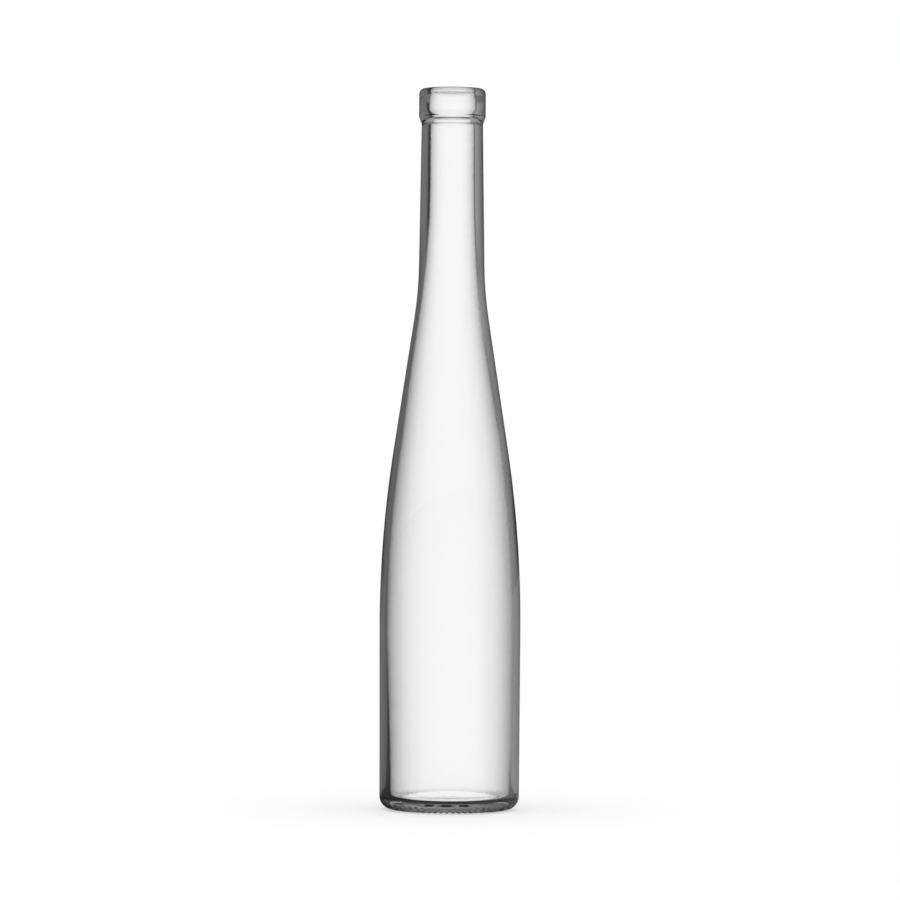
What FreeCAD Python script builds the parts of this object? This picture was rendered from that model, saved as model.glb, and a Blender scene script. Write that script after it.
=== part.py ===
import FreeCAD
import Part
import Sketcher

import math
import os

# Slender hock wine bottle for 375 ml in clear glass, with a ring finish for a straight cork.
# The bottle stands on its bearing ring. Its origin is the middle of that ring, +Z runs up its
# axis, and lengths are millimetres. In every sketch x is the distance from the axis and y the
# height above the bearing ring. A wall's lean is how far it tips inwards on its way up.

SIZES = (
    # alias, value, meaning
    ("bottle_height", 306.0, "bearing ring to mouth"),
    ("body_diameter", 60.0, "widest place, at the foot of the shoulder"),
    ("body_draft", 0.24, "degrees that the body narrows towards the heel"),
    ("heel_radius", 5.4, "round from the body to the bearing ring"),
    ("shoulder_radius", 490.0, "convex sweep from the body to the cone"),
    ("shoulder_angle", 8.67, "degrees of the cone from the axis"),
    ("neck_sweep_radius", 168.0, "concave sweep from the cone to the neck"),
    ("neck_length", 74.8, "mouth to the foot of the neck"),
    ("neck_diameter", 27.8, "at the foot of the neck"),
    ("neck_draft", 0.84, "degrees that the neck narrows towards the mouth"),
    ("ring_projection", 1.35, "how far the ring stands out from the neck at the mouth"),
    ("ring_height", 12.1, "mouth to the lower corner of the ring"),
    ("ring_underside", 3.0, "height of the slope under the ring"),
    ("ring_round", 0.7, "rounds at both ends of that slope"),
    ("lip_round", 2.3, "outer round of the lip"),
    ("mouth_round", 1.1, "inner round of the lip"),
    ("bore_diameter", 18.5, "cylinder that the cork seals in"),
    ("bore_depth", 38.0, "mouth to the foot of the bore, where the cavity starts to widen"),
    ("bulge_depth", 2.0, "mouth to the bulge behind the ring"),
    ("bulge_height", 10.6, "length of the bulge"),
    ("bulge_rise", 0.62, "how far the bulge is wider than the bore, on the radius"),
    ("shoulder_wall", 2.65, "glass in the cone"),
    ("cavity_shoulder_radius", 530.0, "convex sweep of the cavity"),
    ("body_wall", 2.98, "glass at the foot of the shoulder"),
    ("cavity_body_draft", 1.37, "degrees that the cavity narrows towards the heel"),
    ("cavity_heel_radius", 3.0, "round between the cavity's wall and floor"),
    ("base_thickness", 4.3, "bearing ring to the lowest place of the cavity"),
    ("floor_crown", 2.6, "how far the cavity's floor domes up"),
    ("bearing_width", 2.3, "bearing ring, with the punt's outer round"),
    ("punt_depth", 3.6, "push-up in the middle of the base"),
    ("punt_side_rise", 1.7, "height of the punt's sloping side"),
    ("punt_side_angle", 45.0, "degrees of that side from the base plane"),
    ("punt_round", 1.1, "rounds at both ends of the punt's side"),
)
UPRIGHT = math.pi / 2
NEAR = 0.001

doc = FreeCAD.newDocument("HockBottle")
sheet = doc.addObject("Spreadsheet::Sheet", "Sizes")
for row, (alias, value, meaning) in enumerate(SIZES, start=1):
    sheet.set(f"A{row}", alias)
    sheet.set(f"B{row}", str(value))
    sheet.set(f"C{row}", meaning)
    sheet.setAlias(f"B{row}", alias)
doc.recompute()


def size(alias):
    """A driving size, as the sheet holds it."""
    return float(sheet.get(alias))


def angle(alias):
    """A driving angle, in radians."""
    return math.radians(size(alias))


def normal(lean):
    """The outward normal of a wall with this lean."""
    return (math.cos(lean), math.sin(lean))


def shifted(point, lean, distance):
    """The point moved along a wall's outward normal."""
    return (point[0] + distance * math.cos(lean), point[1] + distance * math.sin(lean))


def meeting(point_a, lean_a, point_b, lean_b, outside):
    """The point this far outside two straight walls, each given by a point and its lean."""
    (ax, ay), (bx, by) = normal(lean_a), normal(lean_b)
    from_a = point_a[0] * ax + point_a[1] * ay + outside
    from_b = point_b[0] * bx + point_b[1] * by + outside
    cross = ax * by - ay * bx
    return ((from_a * by - from_b * ay) / cross, (from_b * ax - from_a * bx) / cross)


class Piece:
    """A line or arc of an outline. Its ends are in drawing order, as the sketcher names them."""

    def __init__(self, index, first, last):
        self.index = index
        self.start = (index, first)
        self.end = (index, last)
        self.centre = (index, 3)


class Outline:
    """A closed chain of lines and arcs in a sketch, drawn in order and joined end to end."""

    ORIGIN = (-1, 1)
    AXIS = -2

    def __init__(self, body, label):
        self.sketch = body.newObject("Sketcher::SketchObject", label)
        plane = next(f for f in body.Origin.OriginFeatures if f.Role == "XZ_Plane")
        self.sketch.AttachmentSupport = [(plane, "")]
        self.sketch.MapMode = "FlatFace"
        self.pieces = []

    def line(self, start, end, join="Coincident"):
        points = (FreeCAD.Vector(*point, 0) for point in (start, end))
        return self.add(Part.LineSegment(*points), (1, 2), join)

    def arc(self, centre, radius, first, last, join="Coincident"):
        """An arc from one angle to another, in radians, either way round."""
        circle = Part.Circle(FreeCAD.Vector(*centre, 0), FreeCAD.Vector(0, 0, 1), radius)
        curve = Part.ArcOfCircle(circle, min(first, last), max(first, last))
        return self.add(curve, (1, 2) if last > first else (2, 1), join)

    def add(self, curve, ends, join):
        piece = Piece(self.sketch.addGeometry(curve, False), *ends)
        if self.pieces:
            self.fix(join, *self.pieces[-1].end, *piece.start)
        self.pieces.append(piece)
        return piece

    def close(self):
        """Draws the stretch along the axis back to the start."""
        first, last = (self.place(p) for p in (self.pieces[0].start, self.pieces[-1].end))
        self.line(last, first)
        self.fix("Coincident", *self.pieces[-1].end, *self.pieces[0].start)
        self.fix("PointOnObject", *self.pieces[-1].start, self.AXIS)
        if first != (0, 0):
            self.fix("PointOnObject", *self.pieces[0].start, self.AXIS)
        else:
            self.fix("Coincident", *self.pieces[0].start, *self.ORIGIN)

    def reference(self, other, piece):
        """A line of an earlier outline, to hold this one by."""
        self.sketch.addExternal(other.sketch.Name, f"Edge{piece.index + 1}")
        return Piece(-len(self.sketch.ExternalGeo), piece.start[1], piece.end[1])

    def place(self, end):
        """Where an end lies now."""
        point = self.sketch.getPoint(*end)
        return (point.x, point.y)

    def fix(self, kind, *items):
        """A constraint with no size."""
        self.sketch.addConstraint(Sketcher.Constraint(kind, *items))

    def drive(self, kind, *items, by, now):
        """A constraint whose size is an expression of the sheet's cells."""
        number = self.sketch.addConstraint(Sketcher.Constraint(kind, *items, now))
        self.sketch.setExpression(f"Constraints[{number}]", by)

    def measure(self, name, kind, *items):
        """A named size that the sketch reads off and doesn't hold."""
        number = self.sketch.addConstraint(Sketcher.Constraint(kind, *items, 1))
        self.sketch.setDriving(number, False)
        self.sketch.renameConstraint(number, name)

    def across(self, end, by):
        """Drives the distance of an end or a centre from the axis."""
        self.drive("DistanceX", *self.ORIGIN, *end, by=by, now=self.place(end)[0])

    def up(self, end, by):
        """Drives the height of an end or a centre."""
        self.drive("DistanceY", *self.ORIGIN, *end, by=by, now=self.place(end)[1])

    def lean(self, piece, by, now):
        """Drives the lean of a line that is drawn upwards."""
        self.drive("Angle", piece.index, by=f"90 + {by}", now=UPRIGHT + now)


# Places on the outside that the sizes lead to. The sketches start from these places, and
# their constraints then hold them.
mouth_height = size("bottle_height")
body_lean = -angle("body_draft")
cone_lean = angle("shoulder_angle")
neck_lean = angle("neck_draft")

neck_foot = (size("neck_diameter") / 2, mouth_height - size("neck_length"))
neck_top = (neck_foot[0] - size("neck_length") * math.tan(neck_lean), mouth_height)
sweep_centre = shifted(neck_foot, neck_lean, size("neck_sweep_radius"))
cone_top = shifted(sweep_centre, cone_lean, -size("neck_sweep_radius"))

shoulder_x = size("body_diameter") / 2 - size("shoulder_radius") * math.cos(body_lean)
cone_foot_x = shoulder_x + size("shoulder_radius") * math.cos(cone_lean)
cone_foot = (cone_foot_x, cone_top[1] - (cone_foot_x - cone_top[0]) / math.tan(cone_lean))
shoulder_centre = shifted(cone_foot, cone_lean, -size("shoulder_radius"))
shoulder_foot = shifted(shoulder_centre, body_lean, size("shoulder_radius"))

heel_top_y = size("heel_radius") * (1 + math.sin(body_lean))
heel_top = (shoulder_foot[0] + (shoulder_foot[1] - heel_top_y) * math.tan(body_lean), heel_top_y)
heel_centre = shifted(heel_top, body_lean, -size("heel_radius"))
bearing_edge = (heel_centre[0], 0)


def draw_envelope(body):
    """The outside of the glass without its ring: base, heel, body, shoulder and neck."""
    out = Outline(body, "EnvelopeProfile")
    out.base = out.line((0, 0), bearing_edge)
    heel = out.arc(heel_centre, size("heel_radius"), -UPRIGHT, body_lean, "Tangent")
    out.body = out.line(heel_top, shoulder_foot, "Tangent")
    shoulder = out.arc(shoulder_centre, size("shoulder_radius"), body_lean, cone_lean, "Tangent")
    out.cone = out.line(cone_foot, cone_top, "Tangent")
    ends = (math.pi + cone_lean, math.pi + neck_lean)
    sweep = out.arc(sweep_centre, size("neck_sweep_radius"), *ends, "Tangent")
    out.neck = out.line(neck_foot, neck_top, "Tangent")
    mouth = out.line(neck_top, (0, mouth_height))
    out.close()

    out.fix("Horizontal", out.base.index)
    out.fix("Horizontal", mouth.index)
    out.drive("Radius", heel.index, by="Sizes.heel_radius", now=size("heel_radius"))
    out.drive("Radius", shoulder.index, by="Sizes.shoulder_radius", now=size("shoulder_radius"))
    out.drive("Radius", sweep.index, by="Sizes.neck_sweep_radius", now=size("neck_sweep_radius"))
    out.lean(out.body, by="-Sizes.body_draft", now=body_lean)
    out.lean(out.cone, by="Sizes.shoulder_angle", now=cone_lean)
    out.lean(out.neck, by="Sizes.neck_draft", now=neck_lean)
    out.across(out.body.end, by="Sizes.body_diameter / 2")
    out.across(out.neck.start, by="Sizes.neck_diameter / 2")
    out.up(out.neck.start, by="Sizes.bottle_height - Sizes.neck_length")
    out.up(out.neck.end, by="Sizes.bottle_height")
    return out


def draw_finish(body, envelope):
    """The ring round the mouth, with its slope back to the neck, filled in to the axis."""
    side = neck_top[0] + size("ring_projection")
    side_foot = mouth_height - size("ring_height")
    foot = side_foot - size("ring_underside")
    neck_side = neck_top[0] + (mouth_height - foot) * math.tan(neck_lean)

    out = Outline(body, "FinishProfile")
    neck = out.reference(envelope, envelope.neck)
    floor = out.line((0, foot), (neck_side, foot))
    out.slope = out.line((neck_side, foot), (side, side_foot))
    edge = out.line((side, side_foot), (side, mouth_height))
    out.top = out.line((side, mouth_height), (0, mouth_height))
    out.close()

    out.fix("Horizontal", floor.index)
    out.fix("Vertical", edge.index)
    out.fix("Horizontal", out.top.index)
    out.fix("PointOnObject", *out.slope.start, neck.index)
    ring = size("ring_projection")
    out.drive("DistanceX", *neck.end, *out.top.start, by="Sizes.ring_projection", now=ring)
    out.up(out.top.start, by="Sizes.bottle_height")
    out.up(edge.start, by="Sizes.bottle_height - Sizes.ring_height")
    out.up(floor.end, by="Sizes.bottle_height - Sizes.ring_height - Sizes.ring_underside")
    return out


def draw_cavity(body, envelope, finish):
    """The inside: domed floor, heel, body, shoulder, neck, and bore with its bulge."""
    bore = size("bore_diameter") / 2
    bulge_top = mouth_height - size("bulge_depth")
    bulge_foot = bulge_top - size("bulge_height")
    half, rise = size("bulge_height") / 2, size("bulge_rise")
    bulge_radius = (half**2 + rise**2) / (2 * rise)
    bulge_centre = (bore + rise - bulge_radius, bulge_top - half)
    bulge_half = math.asin(half / bulge_radius)
    bore_foot = (bore, mouth_height - size("bore_depth"))

    # Below the bore the neck sweeps out to the cone in one arc.
    cone_wall = size("shoulder_wall")
    inner_cone = shifted(cone_top, cone_lean, -cone_wall)
    apart = (bore_foot[0] - inner_cone[0], bore_foot[1] - inner_cone[1])
    reach = apart[0] * math.cos(cone_lean) + apart[1] * math.sin(cone_lean)
    sweep = reach / (1 - math.cos(cone_lean))
    inner_sweep = (bore_foot[0] + sweep, bore_foot[1])

    # The shoulder is tangent to two straight walls, so its centre lies a radius inside both.
    shoulder = size("cavity_shoulder_radius")
    inner_body_lean = -angle("cavity_body_draft")
    inner_body = shifted(shoulder_foot, inner_body_lean, -size("body_wall"))
    inner_shoulder = meeting(inner_body, inner_body_lean, inner_cone, cone_lean, -shoulder)

    # The heel's round turns past level, where it runs into the dome of the floor.
    heel, crown = size("cavity_heel_radius"), size("floor_crown")
    lowest = (0, size("base_thickness"))
    inner_heel = meeting(inner_body, inner_body_lean, lowest, -UPRIGHT, -heel)
    above_dome = (inner_heel[0] ** 2 - crown**2) / (2 * crown)
    dome_centre = (0, inner_heel[1] - above_dome)
    dome_edge = math.atan2(above_dome, inner_heel[0])
    dome_radius = above_dome + crown - heel

    out = Outline(body, "CavityProfile")
    outer_body = out.reference(envelope, envelope.body)
    outer_cone = out.reference(envelope, envelope.cone)
    ring_top = out.reference(finish, finish.top)
    floor = out.arc(dome_centre, dome_radius, UPRIGHT, dome_edge)
    turn = out.arc(inner_heel, heel, dome_edge - math.pi, inner_body_lean, "Tangent")
    shoulder_low = shifted(inner_shoulder, inner_body_lean, shoulder)
    wall = out.line(shifted(inner_heel, inner_body_lean, heel), shoulder_low, "Tangent")
    convex = out.arc(inner_shoulder, shoulder, inner_body_lean, cone_lean, "Tangent")
    cone_low = shifted(inner_shoulder, cone_lean, shoulder)
    cone = out.line(cone_low, shifted(inner_sweep, cone_lean, -sweep), "Tangent")
    out.arc(inner_sweep, sweep, math.pi + cone_lean, math.pi, "Tangent")
    out.bore = out.line(bore_foot, (bore, bulge_foot), "Tangent")
    bulge = out.arc(bulge_centre, bulge_radius, -bulge_half, bulge_half)
    entry = out.line((bore, bulge_top), (bore, mouth_height))
    out.mouth = out.line((bore, mouth_height), (0, mouth_height))
    out.close()

    out.fix("PointOnObject", *floor.centre, Outline.AXIS)
    out.up(floor.start, by="Sizes.base_thickness + Sizes.floor_crown")
    out.up(turn.centre, by="Sizes.base_thickness + Sizes.cavity_heel_radius")
    out.drive("Radius", turn.index, by="Sizes.cavity_heel_radius", now=heel)
    out.lean(wall, by="-Sizes.cavity_body_draft", now=inner_body_lean)
    out.drive("Distance", *outer_body.end, wall.index, by="Sizes.body_wall", now=size("body_wall"))
    out.drive("Radius", convex.index, by="Sizes.cavity_shoulder_radius", now=shoulder)
    out.fix("Parallel", cone.index, outer_cone.index)
    out.drive("Distance", *cone.end, outer_cone.index, by="Sizes.shoulder_wall", now=cone_wall)
    out.up(out.bore.start, by="Sizes.bottle_height - Sizes.bore_depth")
    out.fix("Vertical", out.bore.index)
    out.fix("Vertical", entry.index)
    out.fix("Horizontal", out.mouth.index)
    out.across(out.bore.end, by="Sizes.bore_diameter / 2")
    out.across(entry.start, by="Sizes.bore_diameter / 2")
    out.up(bulge.start, by="Sizes.bottle_height - Sizes.bulge_depth - Sizes.bulge_height")
    out.up(bulge.end, by="Sizes.bottle_height - Sizes.bulge_depth")
    rise_to_radius = "(Sizes.bulge_height^2 / 4 + Sizes.bulge_rise^2) / (2 * Sizes.bulge_rise)"
    out.drive("Radius", bulge.index, by=rise_to_radius, now=bulge_radius)
    out.up(out.mouth.start, by="Sizes.bottle_height")
    out.measure("lip_wall", "DistanceX", *out.mouth.start, *ring_top.start)
    return out


def draw_punt(body, envelope):
    """The push-up under the base: a sloping side inside the bearing ring, and a low dome."""
    ring, side_angle = size("bearing_width"), angle("punt_side_angle")
    rim = bearing_edge[0] - ring
    side_rise = size("punt_side_rise")
    side_top = (rim - side_rise / math.tan(side_angle), side_rise)
    rise = size("punt_depth") - side_rise
    dome_radius = (side_top[0] ** 2 + rise**2) / (2 * rise)
    dome_centre = (0, size("punt_depth") - dome_radius)
    dome_edge = math.atan2(side_top[1] - dome_centre[1], side_top[0])

    out = Outline(body, "PuntProfile")
    base = out.reference(envelope, envelope.base)
    level = out.line((0, 0), (rim, 0))
    out.side = out.line((rim, 0), side_top)
    dome = out.arc(dome_centre, dome_radius, dome_edge, UPRIGHT)
    out.close()

    out.fix("Horizontal", level.index)
    out.drive("DistanceX", *level.end, *base.end, by="Sizes.bearing_width", now=ring)
    lean_back = math.pi - side_angle
    out.drive("Angle", out.side.index, by="180 - Sizes.punt_side_angle", now=lean_back)
    out.up(out.side.end, by="Sizes.punt_side_rise")
    out.fix("PointOnObject", *dome.centre, Outline.AXIS)
    out.up(dome.end, by="Sizes.punt_depth")
    return out


def revolved(body, kind, label, outline):
    """A Revolution or a Groove of an outline, all the way round the axis."""
    feature = body.newObject(f"PartDesign::{kind}", label)
    feature.Profile = outline.sketch
    feature.ReferenceAxis = (outline.sketch, ["V_Axis"])
    feature.Angle = 360
    doc.recompute()
    return feature


def rounded(body, label, radius, *corners):
    """A fillet on the circles that corners of outlines drew, each (outline, end of a piece)."""
    names = []
    before = body.Tip
    for number, edge in enumerate(before.Shape.Edges, start=1):
        if edge.Degenerated or not isinstance(edge.Curve, Part.Circle):
            continue
        circle = (edge.Curve.Radius, edge.Curve.Center.z)
        if any(math.dist(circle, outline.place(end)) < NEAR for outline, end in corners):
            names.append(f"Edge{number}")
    fillet = body.newObject("PartDesign::Fillet", label)
    fillet.Base = (before, names)
    fillet.setExpression("Radius", radius)
    doc.recompute()
    return fillet


def make_bottle():
    """The whole bottle, one body of glass."""
    body = doc.addObject("PartDesign::Body", "Bottle")
    body.Label = "bottle"
    envelope = draw_envelope(body)
    revolved(body, "Revolution", "Envelope", envelope)
    finish = draw_finish(body, envelope)
    revolved(body, "Revolution", "Finish", finish)
    cavity = draw_cavity(body, envelope, finish)
    revolved(body, "Groove", "Cavity", cavity)
    punt = draw_punt(body, envelope)
    revolved(body, "Groove", "Punt", punt)
    # The rounds of the lip leave some of its wall flat between them, however thin it is.
    wall = f"{cavity.sketch.Name}.Constraints.lip_wall"
    lip = f"min(Sizes.lip_round * 1 mm; 0.6 * {wall})"
    mouth = f"min(Sizes.mouth_round * 1 mm; 0.3 * {wall})"
    slope, side = finish.slope, punt.side
    rounded(body, "LipRound", lip, (finish, finish.top.start))
    rounded(body, "MouthRound", mouth, (cavity, cavity.mouth.start))
    rounded(body, "RingRounds", "Sizes.ring_round", (finish, slope.start), (finish, slope.end))
    rounded(body, "PuntRounds", "Sizes.punt_round", (punt, side.start), (punt, side.end))
    return body


parts = [make_bottle()]
doc.recompute()

for item in doc.Objects:
    if {"Invalid", "Error"} & set(item.State):
        raise RuntimeError(f"{item.Label} failed: {item.State}")
for part in parts:
    if part.Shape.isNull() or not part.Shape.isValid() or len(part.Shape.Solids) != 1:
        raise RuntimeError(f"{part.Label} isn't one valid solid")

os.makedirs("parts", exist_ok=True)
for part in parts:
    part.Shape.exportStep(f"parts/{part.Label}.step")
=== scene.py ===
import math

import bpy
from mathutils import Matrix, Vector


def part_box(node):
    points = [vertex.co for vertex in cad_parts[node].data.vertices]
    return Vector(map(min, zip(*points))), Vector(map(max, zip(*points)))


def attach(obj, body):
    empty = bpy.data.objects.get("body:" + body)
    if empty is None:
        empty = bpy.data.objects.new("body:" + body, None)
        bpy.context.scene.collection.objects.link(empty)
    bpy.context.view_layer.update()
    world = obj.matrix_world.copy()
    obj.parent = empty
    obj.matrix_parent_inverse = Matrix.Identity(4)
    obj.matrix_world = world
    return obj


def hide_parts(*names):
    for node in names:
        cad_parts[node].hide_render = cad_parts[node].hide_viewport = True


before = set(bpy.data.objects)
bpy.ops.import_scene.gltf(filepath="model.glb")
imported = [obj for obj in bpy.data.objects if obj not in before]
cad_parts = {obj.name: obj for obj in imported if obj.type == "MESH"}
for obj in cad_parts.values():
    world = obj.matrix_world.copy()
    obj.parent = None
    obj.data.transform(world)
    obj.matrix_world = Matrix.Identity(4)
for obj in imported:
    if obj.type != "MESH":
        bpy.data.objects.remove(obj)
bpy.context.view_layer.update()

MM = 0.001
UPRIGHT = math.pi / 2

# The bottle's height and width come from the frame. What else its outline needs stands here,
# in millimetres and degrees. A section is drawn with x as the distance from the axis and z up.
LOW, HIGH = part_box("bottle")
HEIGHT = (HIGH[2] - LOW[2]) / MM
BODY_RADIUS = min(HIGH[0], -LOW[0], HIGH[1], -LOW[1]) / MM - 0.005

HEEL_RADIUS = 5.4
BODY_LEAN = -math.radians(0.24)
SHOULDER_RADIUS = 490.0
CONE_LEAN = math.radians(8.67)
NECK_SWEEP = 168.0
NECK_LENGTH = 74.8
NECK_RADIUS = 13.9
NECK_LEAN = math.radians(0.84)
RING_PROJECTION = 1.35
RING_HEIGHT = 12.1
RING_UNDERSIDE = 3.0
RING_ROUND = 0.7
LIP_ROUND = 2.3
MOUTH_ROUND = 1.1
BORE_RADIUS = 9.25
BORE_DEPTH = 38.0
BULGE_DEPTH = 2.0
BULGE_HEIGHT = 10.6
BULGE_RISE = 0.62
RIDGE_RISE = 0.32  # a fine ridge inside the bore, at the foot of the bulge
RIDGE_HEIGHT = 1.6
RIDGE_ROUND = 0.3
SHOULDER_WALL = 2.65
CAVITY_SHOULDER = 530.0
BODY_WALL = 2.98
CAVITY_LEAN = -math.radians(1.37)
CAVITY_HEEL = 3.0
BASE_THICKNESS = 4.3
FLOOR_CROWN = 2.6
BEARING_WIDTH = 2.3
PUNT_DEPTH = 3.6
PUNT_SIDE_RISE = 1.7
PUNT_SIDE_LEAN = math.radians(45)
PUNT_ROUND = 1.1

SPIN_STEPS = 240  # round the axis
LONG_STEP = 3.0  # along straight and gently curved walls
TURN_STEP = math.radians(11)  # along small rounds


def shifted(point, lean, distance):
    """The point moved along the outward normal of a wall with this lean."""
    return (point[0] + distance * math.cos(lean), point[1] + distance * math.sin(lean))


def meeting(point_a, lean_a, point_b, lean_b, outside):
    """The point this far outside two straight walls, each given by a point and its lean."""
    (ax, az), (bx, bz) = shifted((0, 0), lean_a, 1), shifted((0, 0), lean_b, 1)
    from_a = point_a[0] * ax + point_a[1] * az + outside
    from_b = point_b[0] * bx + point_b[1] * bz + outside
    cross = ax * bz - az * bx
    return ((from_a * bz - from_b * az) / cross, (from_b * ax - from_a * bx) / cross)


class Section:
    """The points of an outline, in order, with round stretches worked out from arcs."""

    def __init__(self, start):
        self.points = [start]

    def line(self, end):
        """A straight stretch from the last point to this end."""
        start = self.points[-1]
        count = max(1, round(math.dist(start, end) / LONG_STEP))
        for k in range(1, count + 1):
            self.points.append(tuple(a + (b - a) * k / count for a, b in zip(start, end)))

    def arc(self, centre, radius, first, last):
        """An arc from one angle to another, with its first point in place already."""
        turn = abs(last - first)
        count = max(4, round(max(turn / TURN_STEP, turn * radius / LONG_STEP)))
        for k in range(1, count + 1):
            self.points.append(shifted(centre, first + (last - first) * k / count, radius))

    def round_corner(self, corner, after, radius):
        """A line towards a corner, rounded there on the way to the point after it."""
        before = self.points[-1]
        back = math.atan2(before[1] - corner[1], before[0] - corner[0])
        ahead = math.atan2(after[1] - corner[1], after[0] - corner[0])
        gap = (ahead - back + math.pi) % (2 * math.pi) - math.pi
        reach = radius / math.tan(abs(gap) / 2)
        self.line((corner[0] + reach * math.cos(back), corner[1] + reach * math.sin(back)))
        side = math.copysign(UPRIGHT, gap)
        centre = shifted(self.points[-1], back + side, radius)
        self.arc(centre, radius, back - side, back - side - math.copysign(math.pi - abs(gap), gap))


def outer_section():
    """The outside, from the middle of the punt over the bearing ring and up to the lip."""
    neck_foot = (NECK_RADIUS, HEIGHT - NECK_LENGTH)
    neck_top = (NECK_RADIUS - NECK_LENGTH * math.tan(NECK_LEAN), HEIGHT)
    sweep = shifted(neck_foot, NECK_LEAN, NECK_SWEEP)
    cone_top = shifted(sweep, CONE_LEAN, -NECK_SWEEP)
    cone_foot_x = BODY_RADIUS + SHOULDER_RADIUS * (math.cos(CONE_LEAN) - math.cos(BODY_LEAN))
    cone_foot = (cone_foot_x, cone_top[1] - (cone_foot_x - cone_top[0]) / math.tan(CONE_LEAN))
    shoulder = shifted(cone_foot, CONE_LEAN, -SHOULDER_RADIUS)
    shoulder_foot = shifted(shoulder, BODY_LEAN, SHOULDER_RADIUS)
    heel = meeting(shoulder_foot, BODY_LEAN, (0, 0), -UPRIGHT, -HEEL_RADIUS)

    punt_rim = heel[0] - BEARING_WIDTH
    punt_side = (punt_rim - PUNT_SIDE_RISE / math.tan(PUNT_SIDE_LEAN), PUNT_SIDE_RISE)
    rise = PUNT_DEPTH - PUNT_SIDE_RISE
    dome_radius = (punt_side[0] ** 2 + rise**2) / (2 * rise)
    dome = (0, PUNT_DEPTH - dome_radius)
    dome_edge = math.atan2(punt_side[1] - dome[1], punt_side[0])

    section = Section((0, PUNT_DEPTH))
    section.arc(dome, dome_radius, UPRIGHT, dome_edge + PUNT_ROUND / 2 / dome_radius)
    section.round_corner(punt_side, (punt_rim, 0), PUNT_ROUND)
    section.round_corner((punt_rim, 0), (heel[0], 0), PUNT_ROUND)
    section.line((heel[0], 0))
    section.arc(heel, HEEL_RADIUS, -UPRIGHT, BODY_LEAN)
    section.line(shoulder_foot)
    section.arc(shoulder, SHOULDER_RADIUS, BODY_LEAN, CONE_LEAN)
    section.line(cone_top)
    section.arc(sweep, -NECK_SWEEP, CONE_LEAN, NECK_LEAN)

    side = neck_top[0] + RING_PROJECTION
    ring_foot = HEIGHT - RING_HEIGHT
    slope_foot = ring_foot - RING_UNDERSIDE
    slope_foot = (neck_top[0] + (HEIGHT - slope_foot) * math.tan(NECK_LEAN), slope_foot)
    section.round_corner(slope_foot, (side, ring_foot), RING_ROUND)
    section.round_corner((side, ring_foot), (side, HEIGHT), RING_ROUND)
    section.round_corner((side, HEIGHT), (BORE_RADIUS, HEIGHT), LIP_ROUND)
    return section, shoulder_foot, cone_top


def whole_section():
    """The glass wall's outline, outside from the punt to the lip and inside down to the floor."""
    section, shoulder_foot, cone_top = outer_section()
    bulge_top = HEIGHT - BULGE_DEPTH
    bulge_radius = (BULGE_HEIGHT**2 / 4 + BULGE_RISE**2) / (2 * BULGE_RISE)
    bulge = (BORE_RADIUS + BULGE_RISE - bulge_radius, bulge_top - BULGE_HEIGHT / 2)
    bulge_half = math.asin(BULGE_HEIGHT / 2 / bulge_radius)
    bore_foot = (BORE_RADIUS, HEIGHT - BORE_DEPTH)

    inner_cone = shifted(cone_top, CONE_LEAN, -SHOULDER_WALL)
    apart = (bore_foot[0] - inner_cone[0], bore_foot[1] - inner_cone[1])
    reach = apart[0] * math.cos(CONE_LEAN) + apart[1] * math.sin(CONE_LEAN)
    sweep_radius = reach / (1 - math.cos(CONE_LEAN))
    sweep = (bore_foot[0] + sweep_radius, bore_foot[1])
    inner_body = shifted(shoulder_foot, CAVITY_LEAN, -BODY_WALL)
    shoulder = meeting(inner_body, CAVITY_LEAN, inner_cone, CONE_LEAN, -CAVITY_SHOULDER)
    heel = meeting(inner_body, CAVITY_LEAN, (0, BASE_THICKNESS), -UPRIGHT, -CAVITY_HEEL)
    above_dome = (heel[0] ** 2 - FLOOR_CROWN**2) / (2 * FLOOR_CROWN)
    dome = (0, heel[1] - above_dome)
    dome_radius = above_dome + FLOOR_CROWN - CAVITY_HEEL
    dome_edge = math.atan2(above_dome, heel[0])

    section.round_corner((BORE_RADIUS, HEIGHT), (BORE_RADIUS, bulge_top), MOUTH_ROUND)
    section.line((BORE_RADIUS, bulge_top))
    section.arc(bulge, bulge_radius, bulge_half, RIDGE_HEIGHT / bulge_radius - bulge_half)
    ridge_foot = (BORE_RADIUS, bulge_top - BULGE_HEIGHT)
    ridge = (BORE_RADIUS - RIDGE_RISE, ridge_foot[1] + RIDGE_HEIGHT / 2)
    section.round_corner(ridge, ridge_foot, RIDGE_ROUND)
    section.line(ridge_foot)
    section.line(bore_foot)
    section.arc(sweep, -sweep_radius, 0, CONE_LEAN)
    section.line(shifted(shoulder, CONE_LEAN, CAVITY_SHOULDER))
    section.arc(shoulder, CAVITY_SHOULDER, CONE_LEAN, CAVITY_LEAN)
    section.line(shifted(heel, CAVITY_LEAN, CAVITY_HEEL))
    section.arc(heel, CAVITY_HEEL, CAVITY_LEAN, dome_edge - math.pi)
    section.arc(dome, dome_radius, dome_edge, UPRIGHT)
    return section.points


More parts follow.
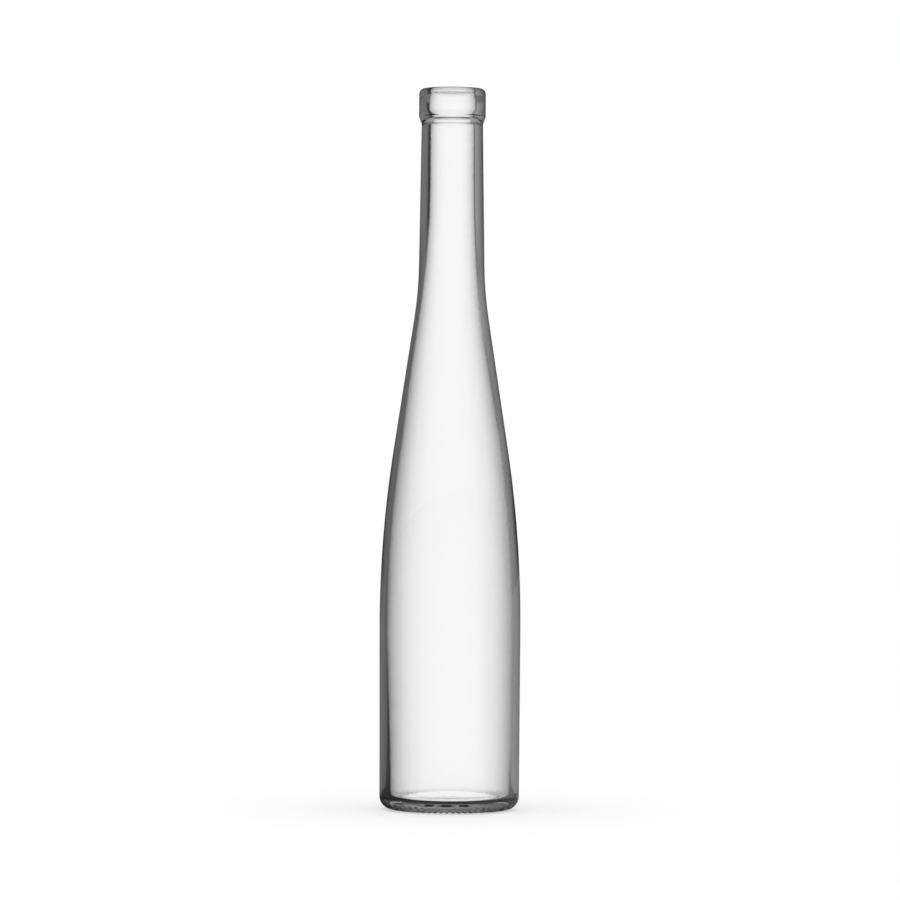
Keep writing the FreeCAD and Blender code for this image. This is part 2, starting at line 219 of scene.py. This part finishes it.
def spun(name, points):
    """A closed shape of revolution: a vertex extruded along the section, then spun."""
    bpy.ops.object.select_all(action="DESELECT")
    bpy.ops.mesh.primitive_plane_add(size=MM)
    piece = bpy.context.object
    piece.name = piece.data.name = name
    bpy.ops.object.mode_set(mode="EDIT")
    bpy.ops.mesh.merge(type="CENTER")
    bpy.ops.transform.translate(value=(points[0][0] * MM, 0, points[0][1] * MM))
    for before, after in zip(points, points[1:]):
        move = ((after[0] - before[0]) * MM, 0, (after[1] - before[1]) * MM)
        bpy.ops.mesh.extrude_vertices_move(TRANSFORM_OT_translate={"value": move})
    bpy.ops.mesh.select_all(action="SELECT")
    bpy.ops.mesh.spin(steps=SPIN_STEPS, angle=2 * math.pi, center=(0, 0, 0), axis=(0, 0, 1))
    bpy.ops.mesh.select_all(action="SELECT")
    bpy.ops.mesh.remove_doubles(threshold=MM / 1000)
    bpy.ops.mesh.normals_make_consistent(inside=False)
    bpy.ops.object.mode_set(mode="OBJECT")
    bpy.ops.object.shade_smooth()
    bpy.ops.object.transform_apply(location=True, rotation=True, scale=True)
    return piece


def feed(tree, sockets, values):
    """Gives each socket its value, which is a number to set or a socket to link."""
    for socket, value in zip(sockets, values):
        if isinstance(value, (int, float)):
            socket.default_value = value
        else:
            tree.links.new(value, socket)


def math_node(tree, operation, *values):
    node = tree.nodes.new("ShaderNodeMath")
    node.operation = operation
    feed(tree, node.inputs, values)
    return node.outputs[0]


def ramp_between(tree, value, low, high, at_low, at_high):
    """A smooth step from at_low to at_high, while the value goes from low to high."""
    node = tree.nodes.new("ShaderNodeMapRange")
    node.interpolation_type = "SMOOTHSTEP"
    sockets = [node.inputs[name] for name in ("Value", "From Min", "From Max", "To Min", "To Max")]
    feed(tree, sockets, (value, low, high, at_low, at_high))
    return node.outputs["Result"]


def mixed(tree, factor, first, second):
    """A number between two others."""
    node = tree.nodes.new("ShaderNodeMix")
    feed(tree, (node.inputs[0], node.inputs[2], node.inputs[3]), (factor, first, second))
    return node.outputs[0]


def grey(level):
    return (level, level, level, 1)


def toned(tree, factor, colour, level, blend="MIX"):
    """A colour mixed with a grey."""
    node = tree.nodes.new("ShaderNodeMix")
    node.data_type = "RGBA"
    node.blend_type = blend
    tree.links.new(factor, node.inputs["Factor"])
    tree.links.new(colour, node.inputs["A"])
    node.inputs["B"].default_value = grey(level)
    return node.outputs["Result"]


def separate(tree, vector):
    """The x, y and z of a vector, as sockets."""
    node = tree.nodes.new("ShaderNodeSeparateXYZ")
    tree.links.new(vector, node.inputs[0])
    return node.outputs


GLASS_IOR = 1.52
GLASS_WAVES = 40.0  # waves of the blown surface in a metre
GLASS_WAVE_DEPTH = 0.12 * MM
# Painted shade on the glass: its colour darkens where it is looked at more and more from the side,
# so that its edges show dark from every side (turn away from head on, 0 to 1; share of light left)
PAINTED_EDGE_SHADE_BY_ANGLE = (
    (0, 1),
    (0.1, 0.98),
    (0.25, 0.87),
    (0.4, 0.71),
    (0.55, 0.55),
    (0.7, 0.42),
    (0.85, 0.22),
    (1, 0),
)
EVEN_ANGLE = 0.5  # the Layer Weight's blend at which it goes evenly with the angle
LEVEL_FROM, LEVEL_FULL = 0.6, 0.95  # upright parts of the normal, where the base counts as level
CLEAR_BELOW = (20 * MM, 40 * MM)  # the level base is kept free of the painted edge shade up to here, and shaded from there up
LIP_PAINTED_SHADE = 0.58  # painted shade: the grey that the rounded lip's colour is darkened to
LIP_FROM, LIP_FULL = (HEIGHT - 5.0) * MM, (HEIGHT - 3.0) * MM
LIP_TURN = (0.05, 0.4)  # upright parts of the normal, between which the lip's painted grey shade comes in


def painted_edge_and_lip_shade(tree, height):
    """Painted shade for the glass's colour: darker the more aslant it is looked at, and grey on the
    lip.
    """
    aslant = tree.nodes.new("ShaderNodeLayerWeight")
    aslant.inputs["Blend"].default_value = EVEN_ANGLE
    ramp = tree.nodes.new("ShaderNodeValToRGB")
    elements = ramp.color_ramp.elements
    while len(elements) < len(PAINTED_EDGE_SHADE_BY_ANGLE):
        elements.new(0.5)
    for element, (place, share) in zip(elements, PAINTED_EDGE_SHADE_BY_ANGLE):
        element.position = place
        element.color = grey(share)
    tree.links.new(aslant.outputs["Facing"], ramp.inputs["Fac"])

    surface = tree.nodes.new("ShaderNodeNewGeometry")
    upright = separate(tree, surface.outputs["Normal"])["Z"]

    # The base lies level, and the painted edge shade is kept off it, so it stays as clear from the
    # side as from above.
    level = math_node(tree, "ABSOLUTE", upright)
    level = ramp_between(tree, level, LEVEL_FROM, LEVEL_FULL, 0, 1)
    low = ramp_between(tree, height, *CLEAR_BELOW, 1, 0)
    level = math_node(tree, "MULTIPLY", level, low)
    colour = toned(tree, level, ramp.outputs["Color"], 1)

    # Painted shade: the rounded lip is painted grey as it turns up out of the walls.
    lip = ramp_between(tree, height, LIP_FROM, LIP_FULL, 0, 1)
    turned_up = ramp_between(tree, upright, *LIP_TURN, 0, 1)
    lip = math_node(tree, "MULTIPLY", lip, turned_up)
    return toned(tree, lip, colour, LIP_PAINTED_SHADE, blend="MULTIPLY")


def slight_waves(tree, place):
    """The blown surface's normal, hardly uneven."""
    noise = tree.nodes.new("ShaderNodeTexNoise")
    noise.inputs["Scale"].default_value = GLASS_WAVES
    noise.inputs["Detail"].default_value = 1.0
    tree.links.new(place, noise.inputs["Vector"])
    waves = tree.nodes.new("ShaderNodeBump")
    waves.inputs["Distance"].default_value = GLASS_WAVE_DEPTH
    tree.links.new(noise.outputs["Fac"], waves.inputs["Height"])
    return waves.outputs["Normal"]


def clear_glass():
    """Colourless bottle glass."""
    material = bpy.data.materials.new("clear bottle glass")
    material.use_nodes = True
    tree = material.node_tree
    shader = tree.nodes["Principled BSDF"]
    shader.inputs["Roughness"].default_value = 0.0
    shader.inputs["IOR"].default_value = GLASS_IOR
    shader.inputs["Transmission Weight"].default_value = 1.0
    place = tree.nodes.new("ShaderNodeTexCoord").outputs["Object"]
    height = separate(tree, place)["Z"]
    # The glass's colour carries painted shade: edges darkened where seen aslant, and a grey lip.
    tree.links.new(painted_edge_and_lip_shade(tree, height), shader.inputs["Base Color"])
    tree.links.new(slight_waves(tree, place), shader.inputs["Normal"])
    return material


KNURLS = 60  # shallow hollows round the bearing ring, with bars between them
KNURL_DEPTH = 0.6
KNURL_BAND = (21.9, 28.6)  # radii between which the hollows lie
KNURL_TOP = 1.7  # height up to which they reach on the heel

# How far the cavity lies off the axis: (height, towards the right, towards the back).
OFF_AXIS = ((25, 0.3, 0.1), (110, -0.1, -0.25), (200, -0.55, 0.2))
OFF_AXIS_REACH = 50.0  # along the glass from each of those heights


def pick(piece, wanted):
    """Leaves edit mode's selection on the vertices for which wanted(radius, turn, height) holds."""
    bpy.ops.object.mode_set(mode="EDIT")
    bpy.ops.mesh.select_mode(type="VERT")
    bpy.ops.mesh.select_all(action="DESELECT")
    bpy.ops.object.mode_set(mode="OBJECT")
    for vertex in piece.data.vertices:
        x, y, z = (c / MM for c in vertex.co)
        vertex.select = wanted(math.hypot(x, y), math.atan2(y, x), z)
    bpy.ops.object.mode_set(mode="EDIT")


def knurl(bottle):
    """Sinks the hollows into the bearing ring."""
    columns = SPIN_STEPS // KNURLS

    def in_hollow(radius, turn, height):
        column = round(turn / (2 * math.pi) * SPIN_STEPS) % columns
        near = KNURL_BAND[0] < radius < KNURL_BAND[1]
        return near and height < KNURL_TOP and column < columns / 2

    pick(bottle, in_hollow)
    bpy.ops.transform.translate(value=(0, 0, KNURL_DEPTH * MM))
    bpy.ops.object.mode_set(mode="OBJECT")


def uneven(bottle, inside):
    """Moves the blown inside of the glass a little off round and off the axis."""
    for height, right, back in OFF_AXIS:
        near = min(inside, key=lambda point: abs(point[1] - height))
        pick(bottle, lambda r, turn, z: math.dist((r, z), near) < 0.01)
        bpy.ops.transform.translate(
            value=(right * MM, back * MM, 0),
            use_proportional_edit=True,
            use_proportional_connected=True,
            proportional_edit_falloff="SMOOTH",
            proportional_size=OFF_AXIS_REACH * MM,
        )
        bpy.ops.object.mode_set(mode="OBJECT")


def make_bottle():
    outside = outer_section()[0].points
    section = whole_section()
    bottle = spun("bottle_glass", section)
    knurl(bottle)
    uneven(bottle, section[len(outside) :])
    bottle.data.materials.append(clear_glass())
    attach(bottle, "root")
    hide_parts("bottle")


BACKGROUND = 1.0  # the white that the glass shows behind it
CEILING = 0.15  # what it shows high above the background
CEILING_FROM, CEILING_FULL = 0.3, 0.45  # as rises of the line of sight, 0 level and 1 straight up
MIRRORED = 0.26  # the studio beside the background, in what the glass mirrors
MIRRORED_DARK = 0.11  # where that studio is darkest, to both sides
MIRRORED_LEAN = 0.14  # how much its right is lighter than its left
MIRRORED_DARK_LEAN = 0.08
MIRRORED_EDGE = (0.57, 0.67)  # how far towards the front or back its lit part starts and is full
MIRRORED_EDGE_LEAN = 0.1  # how much further round its lit part reaches on the right
MIRRORED_GAP = 0.2  # how dark it is between that studio and the light overhead
OVERHEAD = 0.4  # the light overhead, in what the glass mirrors
GAP_RISES = (0.1, 0.22, 0.45, 0.62)  # where the gap starts, is dark, ends, and the light is full
SHEEN = 0.08  # what the outside of the glass mirrors


def mirrored_in_wall(tree, path):
    """1 for light that the glass wall itself has mirrored, on its way past the cavity."""
    mirrors = math_node(tree, "GREATER_THAN", path.outputs["Glossy Depth"], 0.5)
    crossings = math_node(tree, "LESS_THAN", path.outputs["Transmission Depth"], 2.5)
    return math_node(tree, "MULTIPLY", mirrors, crossings)


def mirrored_studio(tree, direction):
    """How bright the studio is, seen in the glass as a mirror, in each level direction."""
    sides = separate(tree, direction)
    to_right = sides["X"]
    lit = math_node(tree, "MULTIPLY_ADD", to_right, MIRRORED_LEAN, MIRRORED)
    dark = math_node(tree, "MULTIPLY_ADD", to_right, MIRRORED_DARK_LEAN, MIRRORED_DARK)
    to_front = math_node(tree, "ABSOLUTE", sides["Y"])
    to_front = math_node(tree, "MULTIPLY_ADD", to_right, MIRRORED_EDGE_LEAN, to_front)
    return mixed(tree, ramp_between(tree, to_front, *MIRRORED_EDGE, 0, 1), dark, lit)


def light_world():
    """White for the camera and for what it lights, and a studio for what the glass shows."""
    world = bpy.data.worlds.new("studio")
    bpy.context.scene.world = world
    world.use_nodes = True
    tree = world.node_tree
    background = tree.nodes["Background"]
    background.inputs["Color"].default_value = grey(1)
    path = tree.nodes.new("ShaderNodeLightPath")
    facing = tree.nodes.new("ShaderNodeTexCoord").outputs["Generated"]
    rise = separate(tree, facing)["Z"]

    through = ramp_between(tree, rise, CEILING_FROM, CEILING_FULL, BACKGROUND, CEILING)
    start, dark, end, full = GAP_RISES
    gap = ramp_between(tree, rise, start, dark, 0, 1)
    over = ramp_between(tree, rise, end, full, 0, 1)
    mirrored = mixed(tree, gap, mirrored_studio(tree, facing), MIRRORED_GAP)
    mirrored = mixed(tree, over, mirrored, OVERHEAD)
    inside = math_node(tree, "GREATER_THAN", path.outputs["Transmission Depth"], 0.5)
    mirrored = mixed(tree, inside, SHEEN, mirrored)
    by_mirror = mirrored_in_wall(tree, path)
    glass = mixed(tree, by_mirror, through, mirrored)

    by_glass = math_node(tree, "MAXIMUM", by_mirror, inside)
    on_floor = math_node(tree, "GREATER_THAN", path.outputs["Diffuse Depth"], 0.5)
    by_glass = math_node(tree, "SUBTRACT", by_glass, on_floor)
    tree.links.new(mixed(tree, by_glass, 1.0, glass), background.inputs["Strength"])


FLOOR_WIDTH = 12.0
FLOOR_DROP = 0.2 * MM  # how far the floor lies under the bottle
FLOOR_COLOUR = 0.6
FLOOR_GLOW = 0.42
FLOOR_GLOW_BEHIND_GLASS = 0.44
FLOOR_PAINTED_LIGHT_UNDER_BOTTLE = 0.76  # painted light: the floor glows brighter here, seen through the base, where no other light comes
# Painted shade: in what the glass walls mirror, the floor under the bottle shows nearly black.
PAINTED_SHADE_UNDER_BOTTLE = 0.02
UNDER_BOTTLE = (25 * MM, 31 * MM)  # from where to where out the open floor begins


def floor_directions(tree):
    """The direction from the bottle's foot to each place of the floor, and how far off it is."""
    place = tree.nodes.new("ShaderNodeTexCoord").outputs["Object"]
    direction = tree.nodes.new("ShaderNodeVectorMath")
    direction.operation = "NORMALIZE"
    tree.links.new(place, direction.inputs[0])
    distance = tree.nodes.new("ShaderNodeVectorMath")
    distance.operation = "LENGTH"
    tree.links.new(place, distance.inputs[0])
    return direction.outputs[0], distance.outputs["Value"]


def pale_floor():
    material = bpy.data.materials.new("pale floor")
    material.use_nodes = True
    tree = material.node_tree
    tree.nodes.clear()
    path = tree.nodes.new("ShaderNodeLightPath")
    direction, distance = floor_directions(tree)
    under = ramp_between(tree, distance, *UNDER_BOTTLE, 1, 0)

    # Painted light: seen through the glass, the floor under the bottle glows brighter than the open
    # floor.
    behind = mixed(tree, under, FLOOR_GLOW_BEHIND_GLASS, FLOOR_PAINTED_LIGHT_UNDER_BOTTLE)
    behind_glass = math_node(tree, "GREATER_THAN", path.outputs["Transmission Depth"], 0.5)
    glow = tree.nodes.new("ShaderNodeEmission")
    tree.links.new(mixed(tree, behind_glass, FLOOR_GLOW, behind), glow.inputs["Strength"])
    diffuse = tree.nodes.new("ShaderNodeBsdfDiffuse")
    diffuse.inputs["Color"].default_value = grey(FLOOR_COLOUR)
    lit = tree.nodes.new("ShaderNodeAddShader")
    tree.links.new(diffuse.outputs[0], lit.inputs[0])
    tree.links.new(glow.outputs[0], lit.inputs[1])

    # Painted reflection and shade: in what the glass walls mirror, the floor glows with the
    # studio's light and dark sides, nearly black under the bottle.
    mirrored = tree.nodes.new("ShaderNodeEmission")
    studio = mirrored_studio(tree, direction)
    tree.links.new(mixed(tree, under, studio, PAINTED_SHADE_UNDER_BOTTLE), mirrored.inputs["Strength"])
    mix = tree.nodes.new("ShaderNodeMixShader")
    tree.links.new(mirrored_in_wall(tree, path), mix.inputs[0])
    tree.links.new(lit.outputs[0], mix.inputs[1])
    tree.links.new(mirrored.outputs[0], mix.inputs[2])
    out = tree.nodes.new("ShaderNodeOutputMaterial")
    tree.links.new(mix.outputs[0], out.inputs["Surface"])
    return material


def make_floor():
    bpy.ops.object.select_all(action="DESELECT")
    bpy.ops.mesh.primitive_plane_add(size=FLOOR_WIDTH, location=(0, 0, -FLOOR_DROP))
    floor = bpy.context.object
    floor.name = "floor"
    bpy.ops.object.transform_apply(location=True)
    floor.data.materials.append(pale_floor())


CAMERA_DISTANCE = 1882 * MM
CAMERA_HEIGHT = 161 * MM
AIM = (-0.00035, 0, 152.5 * MM)
VIEW_WIDTH = 382.5 * MM  # how much the camera sees across at the bottle
ROLL = math.radians(0.275)
SENSOR_WIDTH = 36
NEAREST = 0.05  # what lies closer to the camera isn't shown


def make_camera():
    data = bpy.data.cameras.new("camera")
    camera = bpy.data.objects.new("camera", data)
    bpy.context.scene.collection.objects.link(camera)
    place = Vector((AIM[0], -CAMERA_DISTANCE, CAMERA_HEIGHT))
    look = Vector(AIM) - place
    turn = look.to_track_quat("-Z", "Y").to_matrix().to_4x4() @ Matrix.Rotation(ROLL, 4, "Z")
    camera.matrix_world = Matrix.Translation(place) @ turn
    data.sensor_width = SENSOR_WIDTH
    data.lens = data.sensor_width * look.length / VIEW_WIDTH
    data.clip_start = NEAREST
    bpy.context.scene.camera = camera


make_bottle()
make_floor()
light_world()
make_camera()

scene = bpy.context.scene
scene.view_settings.view_transform = "Standard"

# Light goes in and out of many glass walls before it reaches the studio.
scene.cycles.max_bounces = 32
scene.cycles.glossy_bounces = 16
scene.cycles.transmission_bounces = 32
